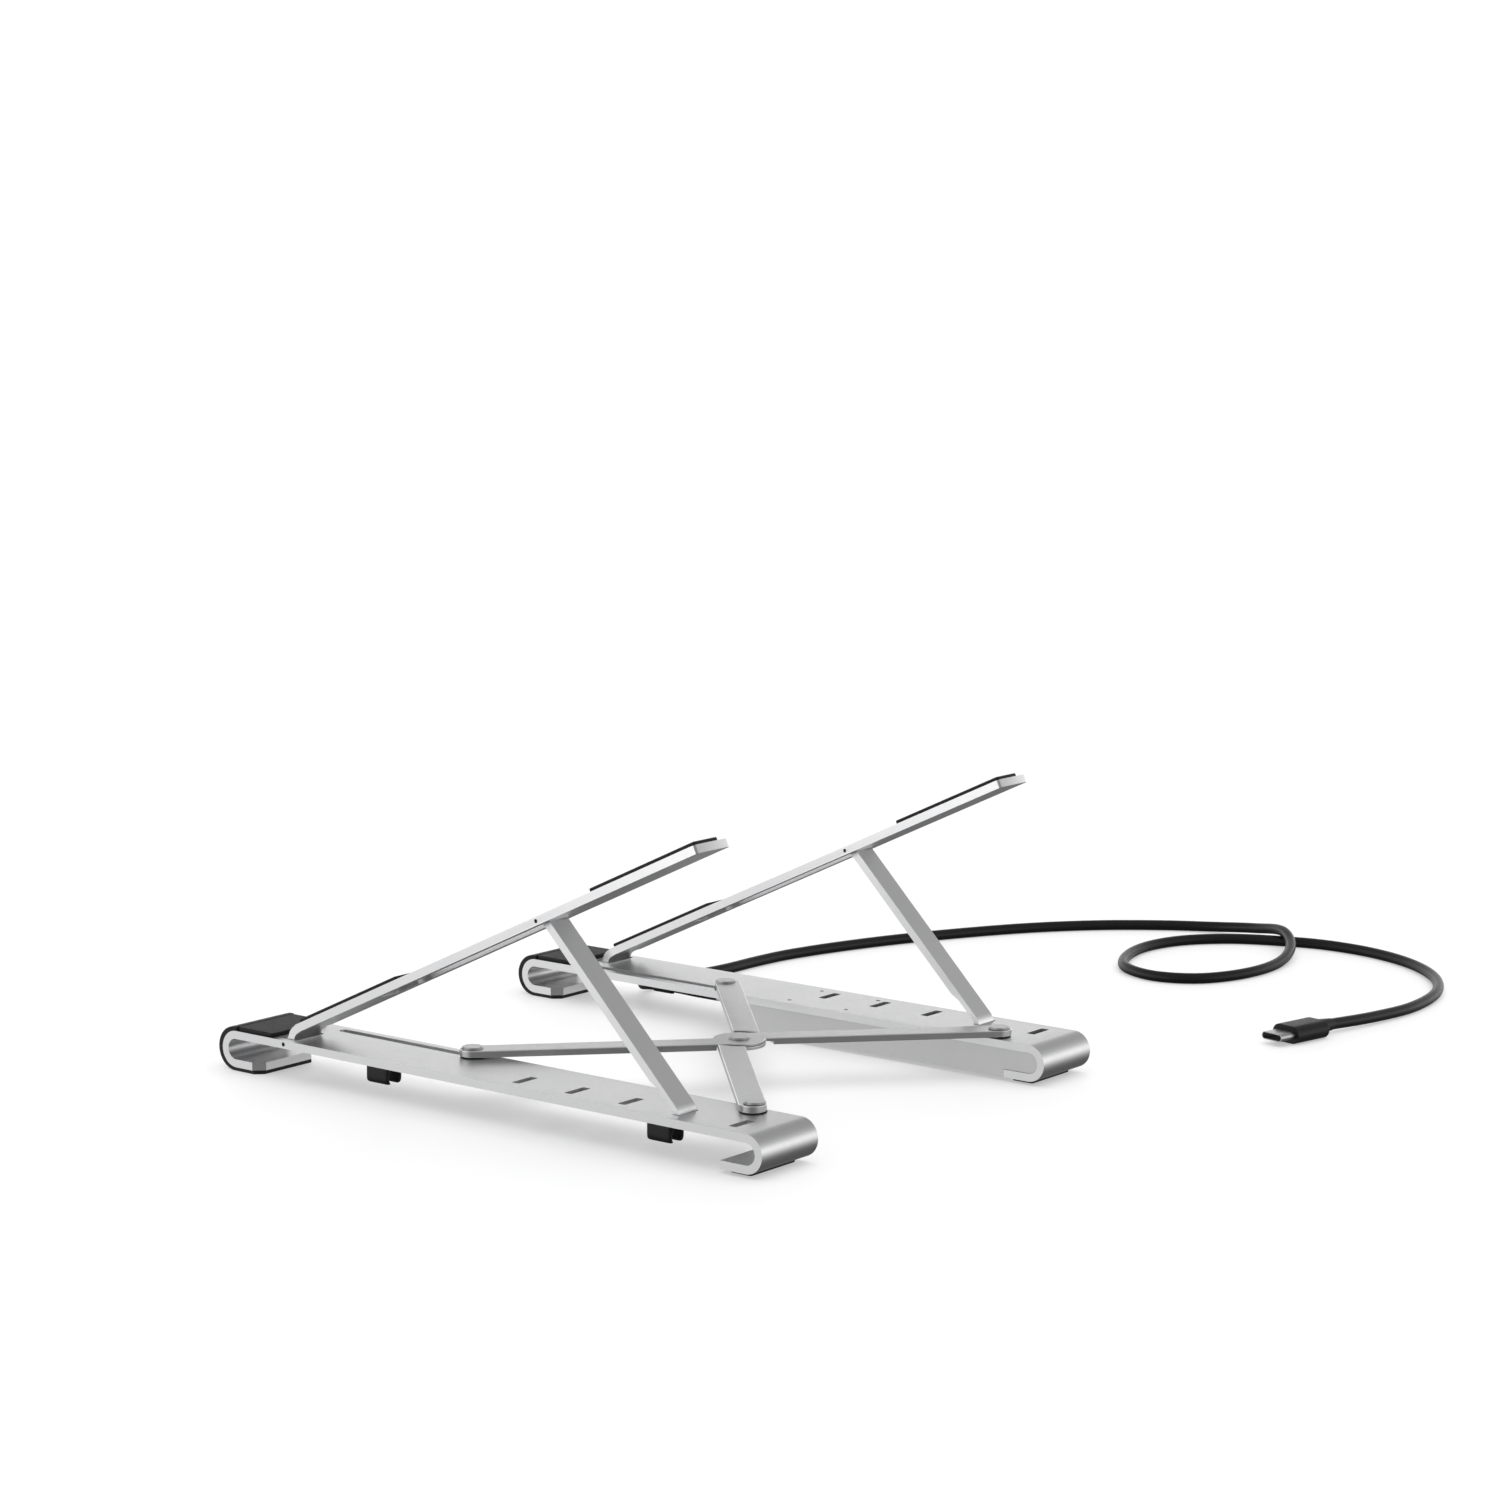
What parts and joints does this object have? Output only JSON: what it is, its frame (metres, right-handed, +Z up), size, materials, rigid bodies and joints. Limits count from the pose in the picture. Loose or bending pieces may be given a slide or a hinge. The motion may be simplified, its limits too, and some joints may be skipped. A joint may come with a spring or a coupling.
{
  "type": "laptop stand",
  "caption": "Folding metal laptop stand with slotted rails on a sliding scissor, tilting arms held by struts, soft pads, cord clips and a port hub with its lead.",
  "frame": {"origin": "centre of the opened stand's footprint on the table, measured without the lead", "axes": "+X to the user's right, +Y from the user to the rear, +Z up"},
  "size_m": [0.38, 0.2497, 0.0912],
  "materials": {
    "aluminium": "satin bead-blasted",
    "steel": "satin",
    "silicone": "matt",
    "black_plastic": "matt",
    "circuit_board": "satin",
    "lead_jacket": "satin"
  },
  "bodies": {
    "left_rail": {"rail_left": "aluminium", "arm_hinge_pin_left": "steel", "rear_rivet_left": "steel", "rear_washer_left": "black_plastic", "front_wrap_pad_left": "silicone", "front_top_pad_left": "silicone", "rear_foot_left": "silicone", "cable_clip_left": "black_plastic", "hub_housing": "aluminium", "hub_port_panel": "black_plastic", "hub_circuit_board": "circuit_board", "hub_usb_a_ports": "steel", "hub_hdmi_port": "steel", "hub_usb_c_port": "steel", "hub_card_slot": "steel", "hub_screws": "steel", "cable_strain_relief": "black_plastic", "cable": "lead_jacket", "cable_plug_body": "black_plastic", "cable_plug_shell": "steel"},
    "bar_a": {"scissor_bar_a": "aluminium", "centre_rivet": "steel", "slider_rivet_right": "steel", "slider_washer_right": "black_plastic"},
    "bar_b": {"scissor_bar_b": "aluminium", "slider_rivet_left": "steel", "slider_washer_left": "black_plastic"},
    "right_rail": {"rail_right": "aluminium", "arm_hinge_pin_right": "steel", "rear_rivet_right": "steel", "rear_washer_right": "black_plastic", "front_wrap_pad_right": "silicone", "front_top_pad_right": "silicone", "rear_foot_right": "silicone", "cable_clip_right_front": "black_plastic", "cable_clip_right_rear": "black_plastic"},
    "left_arm": {"arm_left": "aluminium", "arm_front_pad_left": "silicone", "arm_rear_pad_left": "silicone", "strut_pin_left": "steel"},
    "right_arm": {"arm_right": "aluminium", "arm_front_pad_right": "silicone", "arm_rear_pad_right": "silicone", "strut_pin_right": "steel"},
    "left_strut": {"strut_left": "aluminium"},
    "right_strut": {"strut_right": "aluminium"}
  },
  "joints": [
    {"name": "fold", "type": "hinge", "parent": "left_rail", "child": "bar_a", "pos_m": [-0.0606, 0.0867, 0.01395], "axis": [0, 0, -1], "range_deg": [0, 39.5]},
    {"name": "scissor_centre", "type": "hinge", "parent": "bar_a", "child": "bar_b", "pos_m": [0, 0.03335, 0.01395], "axis": [0, 0, 1], "range_deg": [0, 79]},
    {"name": "right_rail_pivot", "type": "hinge", "parent": "bar_b", "child": "right_rail", "pos_m": [0.0606, 0.0867, 0.01395], "axis": [0, 0, -1], "range_deg": [0, 39.5]},
    {"name": "left_arm_lift", "type": "hinge", "parent": "left_rail", "child": "left_arm", "pos_m": [-0.0736, -0.0778, 0.0114], "axis": [1, 0, 0], "range_deg": [0, 72.9]},
    {"name": "right_arm_lift", "type": "hinge", "parent": "right_rail", "child": "right_arm", "pos_m": [0.0736, -0.0778, 0.0114], "axis": [1, 0, 0], "range_deg": [0, 72.9]},
    {"name": "left_strut_swing", "type": "hinge", "parent": "left_arm", "child": "left_strut", "pos_m": [-0.0736, 0.02329, 0.06212], "axis": [-1, 0, 0], "range_deg": [0, 109.4]},
    {"name": "right_strut_swing", "type": "hinge", "parent": "right_arm", "child": "right_strut", "pos_m": [0.0736, 0.02329, 0.06212], "axis": [-1, 0, 0], "range_deg": [0, 109.4]}
  ],
  "couplings": [
    {"joint": "scissor_centre", "follows": "fold", "ratio": 2},
    {"joint": "right_rail_pivot", "follows": "fold", "ratio": 1},
    {"joint": "left_strut_swing", "follows": "left_arm_lift", "ratio": 1.5},
    {"joint": "right_strut_swing", "follows": "right_arm_lift", "ratio": 1.5}
  ]
}
